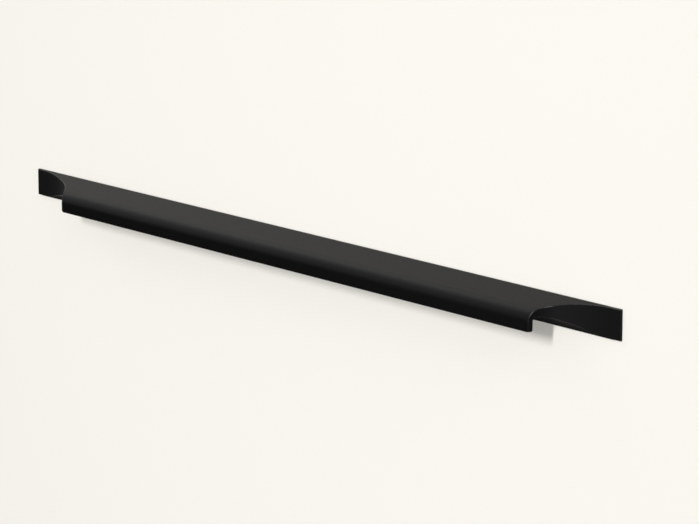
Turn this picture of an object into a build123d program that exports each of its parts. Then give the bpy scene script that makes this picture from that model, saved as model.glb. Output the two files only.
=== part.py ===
from build123d import *
import math
import os

# An edge pull for a cupboard door or drawer front: one length of extruded aluminium section with a
# hooked lip. Both ends of the lip are milled away in a sweeping run-out, which leaves the thin
# flange bare for the last few centimetres. It is fixed from behind by two machine screws.
#
# Millimetres. X runs along the handle, +Y is up the door, and +Z points out of the door. The back
# face lies on Z = 0, and the origin is midway between the two screw holes.

# Driving dimensions
LENGTH = 396.0              # end to end: suits a front 400 mm wide
FLANGE_HEIGHT = 12.0        # back face, top edge to bottom edge
FLANGE_EDGE = 1.0           # thickness of the flange at its bottom edge and at its bare ends
PROJECTION = 13.0           # door face to the front of the lip
LIP_DROP = 13.7             # top edge of the back face to the bottom of the lip
LIP_WALL = 1.5
TOP_LAND = 0.5              # level strip along the top edge, before the top slopes down
TOP_SLOPE = 25.5            # fall of the top towards the lip, in degrees
BEND_RADIUS = 6.0           # outside of the bend between top and lip
HOLLOW_RADIUS = 10.0        # finger hollow behind the lip
HOLLOW_ROOF = 7.6           # top edge of the back face to the highest point of the hollow
HOLLOW_CORNER = 1.8         # where the roof of the hollow turns down the back of the lip

RUN_OUT = 38.0              # from each end of the handle to the front corner of its lip
RUN_OUT_SWEEP = 75.0        # radius of the long sweep that rises out of the flange
RUN_OUT_TURN = 20.5         # how far the long sweep turns, in degrees
RUN_OUT_HOOK = 18.0         # radius of the tighter curve that carries on through the lip
LIP_CORNER = 1.0            # rounding of the lip's bottom corners at its two ends
EDGE_BREAK = 0.3            # rounding of the milled outer edges and of the bottom of the lip

SCREW_SPACING = 320.0       # centre to centre
SCREW_CORE = 3.3            # tapping drill for an M4 thread
SCREW_DEPTH = 7.0           # drilled depth at the rim of the drill
SCREW_BELOW_TOP = 5.5       # top edge of the back face to the screw holes
DRILL_POINT = 118.0         # angle of the drill's point, in degrees
LEAD_IN = 0.5               # chamfer at the mouth of each hole

CUTTER_MARGIN = 5.0         # how far a cutting body stands past what it cuts
TOUCH = 0.001               # two places closer than this count as the same

# Heights in the handle's own frame: the screw holes lie on Y = 0
top = SCREW_BELOW_TOP
flange_bottom = top - FLANGE_HEIGHT
lip_bottom = top - LIP_DROP
hollow_top = top - HOLLOW_ROOF
lip_back = PROJECTION - LIP_WALL


def handle_section():
    """The extruded section, drawn on the YZ plane."""
    slope = math.radians(TOP_SLOPE)

    # The top falls from the edge of its land and runs tangent into the bend, which ends upright.
    bend_out = PROJECTION - BEND_RADIUS * (1 - math.sin(slope))
    bend_height = top - (bend_out - TOP_LAND) * math.tan(slope)
    lip_top = bend_height - BEND_RADIUS * math.cos(slope)

    # The hollow is one arc from the flange's bottom edge, over its roof, to the back of the lip.
    arc_height = hollow_top - HOLLOW_RADIUS
    hollow_out = FLANGE_EDGE + math.sqrt(HOLLOW_RADIUS**2 - (flange_bottom - arc_height) ** 2)
    hollow_end = arc_height + math.sqrt(HOLLOW_RADIUS**2 - (lip_back - hollow_out) ** 2)

    with BuildSketch(Plane.YZ) as section:
        with BuildLine():
            Polyline(
                (flange_bottom, FLANGE_EDGE),
                (flange_bottom, 0),
                (top, 0),
                (top, TOP_LAND),
                (bend_height, bend_out),
            )
            CenterArc((lip_top, bend_out - BEND_RADIUS * math.sin(slope)), BEND_RADIUS, 90, -90 + TOP_SLOPE)
            Polyline(
                (lip_top, PROJECTION),
                (lip_bottom, PROJECTION),
                (lip_bottom, lip_back),
                (hollow_end, lip_back),
            )
            ThreePointArc((hollow_end, lip_back), (hollow_top, hollow_out), (flange_bottom, FLANGE_EDGE))
        make_face()
    return section.sketch


def run_out_plan():
    """What is milled away at the right-hand end, drawn on the XZ plane."""
    turn = math.radians(RUN_OUT_TURN)
    sweep_rise = RUN_OUT_SWEEP * (1 - math.cos(turn))
    sweep_run = RUN_OUT_SWEEP * math.sin(turn)

    # How far the tighter curve has turned where it crosses the front of the lip.
    left_to_rise = PROJECTION - FLANGE_EDGE - sweep_rise
    crossing = math.acos(max(math.cos(turn) - left_to_rise / RUN_OUT_HOOK, 0))
    hook_run = RUN_OUT_HOOK * (math.sin(crossing) - math.sin(turn))

    end = LENGTH / 2 + CUTTER_MARGIN
    start = LENGTH / 2 - RUN_OUT + sweep_run + hook_run
    joint_x = start - sweep_run
    joint_z = FLANGE_EDGE + sweep_rise
    upright_x = joint_x - RUN_OUT_HOOK * (1 - math.sin(turn))
    upright_z = joint_z + RUN_OUT_HOOK * math.cos(turn)
    outside = max(PROJECTION, upright_z) + CUTTER_MARGIN

    with BuildSketch(Plane.XZ) as plan:
        with BuildLine():
            Line((end, FLANGE_EDGE), (start, FLANGE_EDGE))
            RadiusArc((start, FLANGE_EDGE), (joint_x, joint_z), RUN_OUT_SWEEP)
            RadiusArc((joint_x, joint_z), (upright_x, upright_z), RUN_OUT_HOOK)
            Polyline((upright_x, upright_z), (upright_x, outside), (end, outside), (end, FLANGE_EDGE))
        make_face()
    return plan.sketch


def screw_hole():
    """A blind tapping hole with its drill point and lead-in, up from the back face on the Z axis."""
    core = SCREW_CORE / 2
    point = core / math.tan(math.radians(DRILL_POINT / 2))
    with BuildSketch(Plane.XZ) as outline:
        with BuildLine():
            Polyline(
                (0, -CUTTER_MARGIN),
                (core + LEAD_IN + CUTTER_MARGIN, -CUTTER_MARGIN),
                (core, LEAD_IN),
                (core, SCREW_DEPTH),
                (0, SCREW_DEPTH + point),
                close=True,
            )
        make_face()
    return revolve(outline.sketch, Axis.Z)


def edges_within(body, low, high):
    """The edges of the body that lie inside a box, given by two of its corners."""
    box_low = Vector(*low) - Vector(TOUCH, TOUCH, TOUCH)
    box_high = Vector(*high) + Vector(TOUCH, TOUCH, TOUCH)
    found = []
    for edge in body.edges():
        bounds = edge.bounding_box()
        above = all(a >= b for a, b in zip(bounds.min, box_low))
        if above and all(a <= b for a, b in zip(bounds.max, box_high)):
            found.append(edge)
    return found


def outline_of_skin(body):
    """The edge round the outer skin: the run-outs and the bottom of the lip, but not the top edge."""
    skin = []
    for face in body.faces():
        normal = face.normal_at()
        if abs(face.center().X) < TOUCH and normal.Z > TOUCH and normal.Y > -TOUCH:
            skin.append(face)
    edges = [edge for face in skin for edge in face.edges()]
    outline = [edge for edge in edges if edges.count(edge) == 1]
    at_top = [edge for edge in outline if edge.bounding_box().min.Y > top - TOUCH]
    at_ends = [edge for edge in outline if abs(edge.center().X) > LENGTH / 2 - TOUCH]
    return [edge for edge in outline if edge not in at_top and edge not in at_ends]


def make_handle():
    handle = extrude(handle_section(), LENGTH / 2, both=True)
    half = LENGTH / 2

    # Inside the hollow, the roof turns down the back of the lip.
    above_lip = (-half, lip_bottom + EDGE_BREAK, lip_back)
    handle = fillet(edges_within(handle, above_lip, (half, top, lip_back)), HOLLOW_CORNER)

    # Both ends are milled with the same cutter path, right through the section.
    cutter = extrude(run_out_plan(), LIP_DROP + FLANGE_HEIGHT, both=True)
    handle = handle - cutter - mirror(cutter, Plane.YZ)

    # The lip's bottom corners come first, so that the smaller rounding can run on round them.
    under_lip = edges_within(handle, (-half, lip_bottom, lip_back), (half, lip_bottom, PROJECTION))
    across = [edge for edge in under_lip if edge.bounding_box().size.Z > LIP_WALL / 2]
    handle = fillet(across, LIP_CORNER)
    handle = fillet(outline_of_skin(handle), EDGE_BREAK)
    round_the_corner = lip_bottom + LIP_CORNER
    back_of_lip = edges_within(handle, (-half, lip_bottom, lip_back), (half, round_the_corner, lip_back))
    handle = fillet(back_of_lip, EDGE_BREAK)

    for side in (-1, 1):
        handle -= Pos(side * SCREW_SPACING / 2, 0, 0) * screw_hole()
    return handle


os.makedirs("parts", exist_ok=True)
export_step(make_handle(), "parts/handle_profile.step")
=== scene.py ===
import math

import bpy
from mathutils import Matrix, Vector


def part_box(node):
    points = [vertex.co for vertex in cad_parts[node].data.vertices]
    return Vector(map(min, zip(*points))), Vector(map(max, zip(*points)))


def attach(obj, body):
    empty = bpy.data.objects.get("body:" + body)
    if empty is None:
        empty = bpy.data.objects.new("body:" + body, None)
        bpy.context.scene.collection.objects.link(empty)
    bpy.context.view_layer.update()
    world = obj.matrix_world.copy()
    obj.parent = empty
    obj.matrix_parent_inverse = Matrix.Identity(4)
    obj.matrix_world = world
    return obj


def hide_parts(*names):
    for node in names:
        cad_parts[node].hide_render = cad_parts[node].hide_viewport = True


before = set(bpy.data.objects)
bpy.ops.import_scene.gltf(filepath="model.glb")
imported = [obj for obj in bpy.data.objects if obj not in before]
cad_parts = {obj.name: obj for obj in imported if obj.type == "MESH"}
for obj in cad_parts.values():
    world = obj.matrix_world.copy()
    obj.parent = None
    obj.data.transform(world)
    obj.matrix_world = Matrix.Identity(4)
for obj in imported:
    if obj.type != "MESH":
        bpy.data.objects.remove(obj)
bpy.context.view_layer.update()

# The handle is one length of extruded aluminium with a hooked section. Both ends of its lip are
# milled away in a sweeping run-out, two blind holes are tapped for screws in its back, every arris
# is broken, and the whole piece is coated in a fine satin black.
HANDLE = "edge_pull"
low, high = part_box("handle_profile")
half_length = high.x
top = high.y
lip_bottom = low.y
projection = high.z

FLANGE_HEIGHT = 0.012
FLANGE_EDGE = 0.001
TOP_LAND = 0.0005
TOP_SLOPE = math.radians(25.5)
BEND_RADIUS = 0.006
LIP_WALL = 0.0015
HOLLOW_RADIUS = 0.010
HOLLOW_ROOF = 0.0076
HOLLOW_CORNER = 0.0018

BEND_STEPS = 26
CORNER_STEPS = 14
HOLLOW_STEPS = 48

ALONG = Vector((1, 0, 0))
UP_IN_USE = Vector((0, 1, 0))
SAME_PLACE = 1e-6


def start_outline(name, point):
    """A new mesh of one selected point, left in edit mode for line and arc to draw on."""
    bpy.ops.object.select_all(action="DESELECT")
    bpy.ops.mesh.primitive_plane_add(location=(0, 0, 0))
    outline = bpy.context.object
    outline.name = name
    bpy.ops.object.mode_set(mode="EDIT")
    bpy.ops.mesh.select_mode(type="VERT")
    bpy.ops.mesh.select_all(action="SELECT")
    bpy.ops.mesh.merge(type="CENTER")
    bpy.ops.transform.translate(value=point)
    return outline, Vector(point)


def line(pen, end):
    """Draws a straight edge from the pen to the end, and returns the end."""
    bpy.ops.mesh.extrude_vertices_move(TRANSFORM_OT_translate={"value": Vector(end) - pen})
    return Vector(end)


def arc(pen, end, centre, axis, steps):
    """Draws an arc about the centre from the pen to the end, the short way, and returns the end."""
    start_arm, end_arm = pen - Vector(centre), Vector(end) - Vector(centre)
    turn = math.atan2(start_arm.cross(end_arm).dot(axis), start_arm.dot(end_arm))
    bpy.ops.mesh.spin(steps=steps, angle=-turn, center=centre, axis=axis)
    return Vector(end)


def fill_and_extrude(start, run):
    """Closes the outline, moves it to its start, and extrudes it into a solid."""
    bpy.ops.mesh.select_all(action="SELECT")
    bpy.ops.mesh.remove_doubles(threshold=SAME_PLACE)
    bpy.ops.mesh.edge_face_add()
    bpy.ops.transform.translate(value=start)
    bpy.ops.mesh.extrude_region_move(TRANSFORM_OT_translate={"value": run})
    bpy.ops.mesh.select_all(action="SELECT")
    bpy.ops.mesh.normals_make_consistent(inside=False)
    bpy.ops.object.mode_set(mode="OBJECT")


# The top falls from its land, runs tangent into the bend and turns down the front of the lip.
flange_bottom = top - FLANGE_HEIGHT
bend_out = projection - BEND_RADIUS * (1 - math.sin(TOP_SLOPE))
bend_height = top - (bend_out - TOP_LAND) * math.tan(TOP_SLOPE)
lip_top = bend_height - BEND_RADIUS * math.cos(TOP_SLOPE)
lip_back = projection - LIP_WALL

# The hollow's arc and the smaller one that turns down the back of the lip touch at hollow_end.
hollow_height = top - HOLLOW_ROOF - HOLLOW_RADIUS
hollow_out = FLANGE_EDGE + math.sqrt(HOLLOW_RADIUS**2 - (flange_bottom - hollow_height) ** 2)
corner_out = lip_back - HOLLOW_CORNER
corner_arm = HOLLOW_RADIUS - HOLLOW_CORNER
corner_height = hollow_height + math.sqrt(corner_arm**2 - (corner_out - hollow_out) ** 2)
hollow_centre = Vector((0, hollow_height, hollow_out))
corner_centre = Vector((0, corner_height, corner_out))
hollow_end = hollow_centre + (corner_centre - hollow_centre) * HOLLOW_RADIUS / corner_arm

handle, pen = start_outline(HANDLE, (0, flange_bottom, FLANGE_EDGE))
pen = arc(pen, hollow_end, hollow_centre, ALONG, HOLLOW_STEPS)
pen = arc(pen, (0, corner_height, lip_back), corner_centre, ALONG, CORNER_STEPS)
pen = line(pen, (0, lip_bottom, lip_back))
pen = line(pen, (0, lip_bottom, projection))
pen = line(pen, (0, lip_top, projection))
bend_centre = (0, lip_top, projection - BEND_RADIUS)
pen = arc(pen, (0, bend_height, bend_out), bend_centre, ALONG, BEND_STEPS)
pen = line(pen, (0, top, TOP_LAND))
pen = line(pen, (0, top, 0))
pen = line(pen, (0, flange_bottom, 0))
fill_and_extrude((-half_length, 0, 0), (2 * half_length, 0, 0))

# The cutter's path rises out of the flange in a long sweep and turns up through the lip.
RUN_OUT = 0.038
SWEEP_RADIUS = 0.075
SWEEP_TURN = math.radians(20.5)
HOOK_RADIUS = 0.018
SWEEP_STEPS = 24
HOOK_STEPS = 24
LIP_CLEARANCE = 0.0002
CUTTER_MARGIN = 0.005

sweep_rise = SWEEP_RADIUS * (1 - math.cos(SWEEP_TURN))
sweep_run = SWEEP_RADIUS * math.sin(SWEEP_TURN)
left_to_rise = projection - FLANGE_EDGE - sweep_rise
crossing = math.acos(math.cos(SWEEP_TURN) - left_to_rise / HOOK_RADIUS)
hook_run = HOOK_RADIUS * (math.sin(crossing) - math.sin(SWEEP_TURN))
sweep_start = half_length - RUN_OUT + sweep_run + hook_run
joint = Vector((sweep_start - sweep_run, 0, FLANGE_EDGE + sweep_rise))
hook_centre = joint + HOOK_RADIUS * Vector((math.sin(SWEEP_TURN), 0, math.cos(SWEEP_TURN)))


def on_hook(height):
    """The point of the hook at this height above the back face."""
    rise = hook_centre.z - height
    return Vector((hook_centre.x - math.sqrt(HOOK_RADIUS**2 - rise**2), 0, height))


def mirror():
    """Adds the mirror image of the active mesh, for the other end of the handle."""
    bpy.ops.object.modifier_add(type="MIRROR")
    bpy.ops.object.modifier_apply(modifier="Mirror")


# The path is straight through the thin wall of the lip, where the hook hardly turns.
behind_lip = on_hook(lip_back - LIP_CLEARANCE)
past_lip = on_hook(projection + LIP_CLEARANCE)
past_end = half_length + CUTTER_MARGIN
outside = projection + CUTTER_MARGIN
cutter, pen = start_outline("cutter", (past_end, 0, FLANGE_EDGE))
pen = line(pen, (sweep_start, 0, FLANGE_EDGE))
pen = arc(pen, joint, (sweep_start, 0, FLANGE_EDGE + SWEEP_RADIUS), UP_IN_USE, SWEEP_STEPS)
pen = arc(pen, behind_lip, hook_centre, UP_IN_USE, HOOK_STEPS)
pen = line(pen, past_lip)
pen = line(pen, (past_lip.x, 0, outside))
pen = line(pen, (past_end, 0, outside))
fill_and_extrude((0, lip_bottom - CUTTER_MARGIN, 0), (0, top - lip_bottom + 2 * CUTTER_MARGIN, 0))
mirror()

# What is nearer than a sliver counts as touching.
SLIVER = 3e-5


def make_active(piece):
    """Selects one piece alone and makes it the one that operators act on."""
    bpy.ops.object.select_all(action="DESELECT")
    piece.select_set(True)
    bpy.context.view_layer.objects.active = piece


def cut_away(piece, tool):
    """Takes the tool's shape out of the piece, and removes the tool."""
    make_active(piece)
    bpy.ops.object.modifier_add(type="BOOLEAN")
    cut = piece.modifiers[-1]
    cut.object = tool
    cut.solver = "EXACT"
    bpy.ops.object.modifier_apply(modifier=cut.name)
    bpy.data.objects.remove(tool)


cut_away(handle, cutter)
bpy.ops.object.mode_set(mode="EDIT")
bpy.ops.mesh.select_all(action="SELECT")
bpy.ops.mesh.remove_doubles(threshold=SLIVER)
bpy.ops.object.mode_set(mode="OBJECT")

# The bottom corners at the two ends of the lip are rounded across its wall.
LIP_CORNER = 0.001
LIP_CORNER_STEPS = 10


def select_edges(piece, chosen):
    """Selects the edges of the piece whose two ends pass the test, and goes into edit mode."""
    make_active(piece)
    bpy.ops.object.mode_set(mode="EDIT")
    bpy.ops.mesh.select_mode(type="EDGE")
    bpy.ops.mesh.select_all(action="DESELECT")
    bpy.ops.object.mode_set(mode="OBJECT")
    for edge in piece.data.edges:
        edge.select = chosen(*[piece.data.vertices[index].co for index in edge.vertices])
    bpy.ops.object.mode_set(mode="EDIT")


def across_the_lip(start, end):
    """Whether an edge crosses the bottom of the lip's wall at one of the lip's ends."""
    at_bottom = max(start.y, end.y) < lip_bottom + SLIVER
    return at_bottom and abs(start.z - end.z) > abs(start.x - end.x) and start.x * end.x > 0


select_edges(handle, across_the_lip)
bpy.ops.mesh.bevel(offset=LIP_CORNER, segments=LIP_CORNER_STEPS, affect="EDGES")
bpy.ops.object.mode_set(mode="OBJECT")

# Every arris is broken: by EDGE_BREAK round the outer skin and the bottom of the lip, where a hand
# meets it, and by a fraction of that elsewhere. The slots are here before their materials, so that
# the roundings can be put in one of their own.
DRAWN, MILLED, INSIDE, ARRIS = range(4)
ARRIS_ANGLE = math.radians(20)
EDGE_BREAK = 0.0003
SMALL_BREAK = 0.4
ARRIS_STEPS = 4


def on_outer_skin(point):
    """Whether the point lies on the slope, the bend or the front of the lip, below the top edge."""
    if point.z > bend_out:
        above_centre = max(point.y - lip_top, 0)
        out = point.z - projection + BEND_RADIUS
        return abs(math.hypot(above_centre, out) - BEND_RADIUS) < SLIVER
    on_slope = top - (point.z - TOP_LAND) * math.tan(TOP_SLOPE)
    return point.z > FLANGE_EDGE - SLIVER and abs(point.y - on_slope) < SLIVER


def at_bottom_of_lip(point):
    """Whether the point lies on the bottom of the lip or on one of its rounded corners."""
    return point.z > lip_back - SLIVER and point.y < lip_bottom + LIP_CORNER + SLIVER


while len(handle.data.materials) <= ARRIS:
    handle.data.materials.append(None)
make_active(handle)
bpy.ops.object.mode_set(mode="EDIT")
bpy.ops.mesh.select_all(action="DESELECT")
bpy.ops.mesh.edges_select_sharp(sharpness=ARRIS_ANGLE)
bpy.ops.object.mode_set(mode="OBJECT")
weights = handle.data.attributes.new("bevel_weight_edge", "FLOAT", "EDGE")
for edge in handle.data.edges:
    if edge.select:
        ends = [handle.data.vertices[index].co for index in edge.vertices]
        broad = all(map(on_outer_skin, ends)) or all(map(at_bottom_of_lip, ends))
        weights.data[edge.index].value = 1 if broad else SMALL_BREAK
bpy.ops.object.modifier_add(type="BEVEL")
bevel = handle.modifiers[-1]
bevel.limit_method = "WEIGHT"
bevel.width = EDGE_BREAK
bevel.segments = ARRIS_STEPS
bevel.use_clamp_overlap = False
bevel.material = ARRIS
bpy.ops.object.modifier_apply(modifier=bevel.name)

# Each screw hole has a drill point, a tapped length bored to the outside of its thread, and a
# lead-in at its mouth.
SCREW_SPACING = 0.320
THREAD_RADIUS = 0.002
CORE_RADIUS = 0.00165
TAPPED_DEPTH = 0.006
SCREW_DEPTH = 0.007
DRILL_POINT = math.radians(118)
LEAD_IN = 0.0005
HOLE_STEPS = 48

drill_tip = SCREW_DEPTH + CORE_RADIUS / math.tan(DRILL_POINT / 2)
mouth = CORE_RADIUS + LEAD_IN
drill, pen = start_outline("drill", (0, 0, drill_tip))
pen = line(pen, (CORE_RADIUS, 0, SCREW_DEPTH))
pen = line(pen, (CORE_RADIUS, 0, TAPPED_DEPTH))
pen = line(pen, (THREAD_RADIUS, 0, TAPPED_DEPTH))
pen = line(pen, (THREAD_RADIUS, 0, mouth - THREAD_RADIUS))
pen = line(pen, (mouth + CUTTER_MARGIN, 0, -CUTTER_MARGIN))
pen = line(pen, (0, 0, -CUTTER_MARGIN))
bpy.ops.mesh.select_all(action="SELECT")
bpy.ops.mesh.spin(steps=HOLE_STEPS, angle=2 * math.pi, center=(0, 0, 0), axis=(0, 0, 1))
bpy.ops.mesh.select_all(action="SELECT")
bpy.ops.mesh.remove_doubles(threshold=SAME_PLACE)
bpy.ops.mesh.normals_make_consistent(inside=False)
bpy.ops.transform.translate(value=(SCREW_SPACING / 2, 0, 0))
bpy.ops.object.mode_set(mode="OBJECT")
mirror()
cut_away(handle, drill)

# The faces of one run of surface shade as one, and the broad flats keep their own direction.
make_active(handle)
bpy.ops.object.shade_smooth_by_angle(angle=ARRIS_ANGLE)
bpy.ops.object.modifier_add(type="WEIGHTED_NORMAL")
handle.modifiers[-1].keep_sharp = True
bpy.ops.object.modifier_apply(modifier=handle.modifiers[-1].name)


class Wire:
    """A socket in a material's or the room's nodes. Arithmetic on it adds their Math nodes."""

    def __init__(self, tree, socket=None):
        self.tree = tree
        self.socket = socket

    def node(self, kind, settings, inputs, output=0):
        """Adds a node, sets it up, feeds its sockets, and returns a wire from one output."""
        node = self.tree.nodes.new(kind)
        for name, value in settings.items():
            setattr(node, name, value)
        for name, value in inputs.items():
            if isinstance(value, Wire):
                self.tree.links.new(value.socket, node.inputs[name])
            else:
                node.inputs[name].default_value = value
        return Wire(self.tree, node.outputs[output])

    def math(self, operation, first, second):
        return self.node("ShaderNodeMath", {"operation": operation}, {0: first, 1: second})

    def __add__(self, other):
        return self.math("ADD", self, other)

    def __mul__(self, other):
        return self.math("MULTIPLY", self, other)

    __radd__ = __add__
    __rmul__ = __mul__


# The coat is a satin black with the faint texture of a sprayed powder, over the lines of the die on
# the drawn surfaces and the marks of the cutter on the milled ones. It lies duller on the milled
# faces and in the hollow, and smoother over the arrises, but not round the flat of the lip.
SATIN = {"black": 0.0004, "thin": 0.0010, "ior": 1.265, "rough": 0.42}
DULLER = {"black": 0.0042, "thin": 0.0056, "ior": 1.15, "rough": 0.55}
DULL = {"black": 0.0060, "thin": 0.0085, "ior": 1.09, "rough": 0.65}
SMOOTH = {"black": 0.0004, "thin": 0.0010, "ior": 1.38, "rough": 0.28}
COLD_CAST = (1, 1, 1.05)
ROUGHNESS_SPREAD = 0.08
POWDER_GRAIN = 0.00035
POWDER_DETAIL = 3
POWDER_HEIGHT = 0.0000015
PEEL_LENGTH = 0.0018
PEEL_HEIGHT = 0.000003
MARK_SPACING = 0.0005
MARK_LENGTH = 0.2
MARK_DETAIL = 2
MARK_HEIGHT = 0.0000012


def coat(name, mark_size, black, thin, ior, rough):
    """The black coat over marks of the given size along X, Y and Z."""
    material = bpy.data.materials.new(name)
    material.use_nodes = True
    tree = material.node_tree
    shader = tree.nodes["Principled BSDF"]
    wire = Wire(tree)
    place = wire.node("ShaderNodeTexCoord", {}, {}, "Object")
    grains = {"Vector": place, "Scale": 1 / POWDER_GRAIN, "Detail": POWDER_DETAIL}
    powder = wire.node("ShaderNodeTexNoise", {}, grains)
    peel = wire.node("ShaderNodeTexNoise", {}, {"Vector": place, "Scale": 1 / PEEL_LENGTH})
    stretch = {"Vector": place, "Scale": [1 / size for size in mark_size]}
    stretched = wire.node("ShaderNodeMapping", {}, stretch)
    strokes = {"Vector": stretched, "Scale": 1, "Detail": MARK_DETAIL}
    marks = wire.node("ShaderNodeTexNoise", {}, strokes)
    height = powder * POWDER_HEIGHT + peel * PEEL_HEIGHT + marks * MARK_HEIGHT
    deep, pale = [[tone * part for part in COLD_CAST] + [1] for tone in (black, thin)]
    # A Mix node's colour sockets share their names with its other ones, so they go by number.
    colour = wire.node("ShaderNodeMix", {"data_type": "RGBA"}, {0: powder, 6: deep, 7: pale}, 2)
    bump = wire.node("ShaderNodeBump", {}, {"Height": height, "Distance": 1})
    roughness = (peel + marks) * (ROUGHNESS_SPREAD / 2) + (rough - ROUGHNESS_SPREAD / 2)
    for socket, value in {"Base Color": colour, "Roughness": roughness, "Normal": bump}.items():
        tree.links.new(value.socket, shader.inputs[socket])
    shader.inputs["IOR"].default_value = ior
    return material


drawn = (MARK_LENGTH, MARK_SPACING, MARK_SPACING)
milled = (MARK_SPACING, MARK_LENGTH, MARK_LENGTH)
handle.data.materials[DRAWN] = coat("satin_black_drawn", drawn, **SATIN)
handle.data.materials[MILLED] = coat("satin_black_milled", milled, **DULLER)
handle.data.materials[INSIDE] = coat("satin_black_inside", drawn, **DULL)
handle.data.materials[ARRIS] = coat("satin_black_arris", drawn, **SMOOTH)
for face in handle.data.polygons:
    if face.material_index == ARRIS:
        if face.center.z > lip_back - SLIVER and face.center.y < lip_top:
            face.material_index = MILLED
        continue
    from_axis = math.hypot(face.center.y - hollow_height, face.center.z - hollow_out)
    if from_axis < HOLLOW_RADIUS + SLIVER and face.center.z < lip_back + SLIVER:
        face.material_index = INSIDE
    elif face.normal.z > SLIVER and abs(face.normal.y) < SLIVER and abs(face.center.x) > past_lip.x:
        face.material_index = MILLED

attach(handle, "root")
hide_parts("handle_profile")

# Each screw hole is tapped M4: one ridge winds along it, from behind the lead-in to the end of the
# tapped length. The ridge stands in the wall of the hole by a hair, so that no gap shows.
THREAD_PITCH = 0.0007
THREAD_TURNS = 7
THREAD_STEPS = 48
THREAD_START = 0.0009
THREAD_FOOT = 0.00004
RIDGE_ROOT = 0.00056
RIDGE_CREST = 0.0001
RIDGE_SIDES = 4

foot = THREAD_RADIUS + THREAD_FOOT
thread, pen = start_outline("thread_left", (foot, 0, -RIDGE_ROOT / 2))
pen = line(pen, (CORE_RADIUS, 0, -RIDGE_CREST / 2))
pen = line(pen, (CORE_RADIUS, 0, RIDGE_CREST / 2))
pen = line(pen, (foot, 0, RIDGE_ROOT / 2))
bpy.ops.mesh.select_all(action="SELECT")
bpy.ops.mesh.edge_face_add()
bpy.ops.object.mode_set(mode="OBJECT")
bpy.ops.object.modifier_add(type="SCREW")
wound = thread.modifiers[-1]
wound.axis = "Z"
wound.screw_offset = THREAD_PITCH
wound.iterations = THREAD_TURNS
wound.steps = wound.render_steps = THREAD_STEPS
bpy.ops.object.modifier_apply(modifier=wound.name)
bpy.ops.object.mode_set(mode="EDIT")
bpy.ops.mesh.select_all(action="SELECT")
bpy.ops.mesh.fill_holes(sides=RIDGE_SIDES)
bpy.ops.mesh.select_all(action="SELECT")
bpy.ops.mesh.normals_make_consistent(inside=False)
bpy.ops.object.mode_set(mode="OBJECT")
bpy.ops.object.shade_smooth_by_angle(angle=ARRIS_ANGLE)
bpy.ops.object.duplicate()
other_thread = bpy.context.object
other_thread.name = "thread_right"
for piece, side in ((thread, -1), (other_thread, 1)):
    make_active(piece)
    bpy.ops.object.mode_set(mode="EDIT")
    bpy.ops.mesh.select_all(action="SELECT")
    bpy.ops.transform.translate(value=(side * SCREW_SPACING / 2, 0, THREAD_START))
    bpy.ops.object.mode_set(mode="OBJECT")
    piece.data.materials.append(handle.data.materials[INSIDE])
    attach(piece, "root")

# The floor is one plain pale sheet, a little warm in colour and nearly matt. The handle lies on it
# on its flat back.
FLOOR_SIZE = 6
FLOOR_COLOUR = (0.90, 0.875, 0.815, 1)
FLOOR_ROUGHNESS = 0.9

bpy.ops.object.select_all(action="DESELECT")
bpy.ops.mesh.primitive_plane_add(size=FLOOR_SIZE)
floor = bpy.context.object
floor.name = "floor"
pale = bpy.data.materials.new("pale_floor")
pale.use_nodes = True
pale.node_tree.nodes["Principled BSDF"].inputs["Base Color"].default_value = FLOOR_COLOUR
pale.node_tree.nodes["Principled BSDF"].inputs["Roughness"].default_value = FLOOR_ROUGHNESS
floor.data.materials.append(pale)

# The room is lit as the handle meets it in use, with its Y axis up. It is dim straight ahead, and to
# the left and right it has grey walls, a bright ceiling and a dark floor. Of the two soft lights in
# front of the handle, the upper one throws the shadow, and the broader lower one fills it in.
CEILING_LEVEL = 2.2
CEILING_SINES = (0.48, 0.60)
WALL_LEVEL = 0.70
WALL_SINES = (0.0, 0.05)
AHEAD_LEVEL = 0.14
SIDE_SINES = (0.58, 0.68)
BACKDROP_LEVEL = 0.8
LIGHT_DISTANCE = 2.5
ABOVE = {"lean": (0.18, 0.43), "width": 0.18, "height": 0.85, "level": 0.53}
BELOW = {"lean": (0, -0.36), "width": 0.80, "height": 0.60, "level": 0.33}


def facing(back):
    """A turn whose local Z is back, with the handle's up as near as can be to local Y."""
    right = UP_IN_USE.cross(back).normalized()
    return Matrix((right, back.cross(right), back)).transposed().to_euler()


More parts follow.
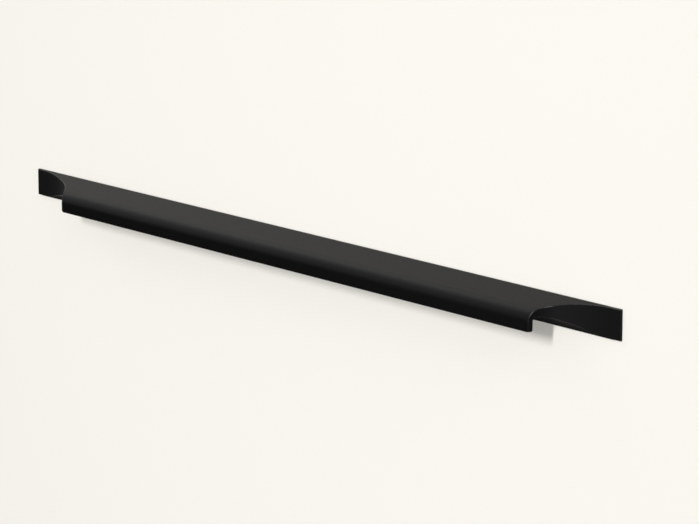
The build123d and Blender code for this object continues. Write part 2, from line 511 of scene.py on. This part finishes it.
def soft_light(lean, width, height, level):
    """A light that leans from straight ahead, along the handle and up. Alone, it would light a
    white floor to its level."""
    towards = Vector((*lean, 1)).normalized()
    bpy.ops.object.light_add(type="AREA")
    light = bpy.context.object
    light.data.shape = "RECTANGLE"
    light.data.size = width
    light.data.size_y = height
    light.data.energy = level * math.pi**2 * LIGHT_DISTANCE**2 / towards.z
    light.location = towards * LIGHT_DISTANCE
    light.rotation_euler = facing(towards)


soft_light(**ABOVE)
soft_light(**BELOW)
world = bpy.data.worlds.new("room")
bpy.context.scene.world = world
world.use_nodes = True
room = Wire(world.node_tree)
direction = room.node("ShaderNodeTexCoord", {}, {}, "Generated")
across = room.node("ShaderNodeSeparateXYZ", {}, {0: direction}, "X")
up = room.node("ShaderNodeSeparateXYZ", {}, {0: direction}, "Y")


def step_up(part, sines, level=1):
    """A soft step in the room's brightness, as one part of the direction passes two sines."""
    settings = {"interpolation_type": "SMOOTHSTEP"}
    inputs = {"Value": part, "From Min": sines[0], "From Max": sines[1], "To Max": level}
    return room.node("ShaderNodeMapRange", settings, inputs)


walls_and_ceiling = step_up(up, WALL_SINES, WALL_LEVEL) + step_up(up, CEILING_SINES, CEILING_LEVEL)
sides = step_up(across * across, [sine**2 for sine in SIDE_SINES])
around = room.node("ShaderNodeMix", {}, {"Factor": sides, "A": AHEAD_LEVEL, "B": walls_and_ceiling})
# The camera sees an even pale backdrop in place of the room.
seen = room.node("ShaderNodeLightPath", {}, {}, "Is Camera Ray")
strength = room.node("ShaderNodeMix", {}, {"Factor": seen, "A": around, "B": BACKDROP_LEVEL})
background = world.node_tree.nodes["Background"]
background.inputs["Color"].default_value = (1, 1, 1, 1)
world.node_tree.links.new(strength.socket, background.inputs["Strength"])

# The camera stands where the photograph was taken from: to the right of the handle and above it,
# with the handle's Y axis upright in the picture.
CAMERA_PLACE = Vector((1.0489, 0.2552, 0.7968))
CAMERA_AIM = Vector((0.03466, -0.00231, 0))
CAMERA_LENS = 165.7
NEAREST_SEEN = 0.01

camera_data = bpy.data.cameras.new("camera")
camera_data.lens = CAMERA_LENS
camera_data.clip_start = NEAREST_SEEN
camera = bpy.data.objects.new("camera", camera_data)
camera.location = CAMERA_PLACE
camera.rotation_euler = facing((CAMERA_PLACE - CAMERA_AIM).normalized())
bpy.context.scene.collection.objects.link(camera)
bpy.context.scene.camera = camera

bpy.context.scene.view_settings.view_transform = "Standard"
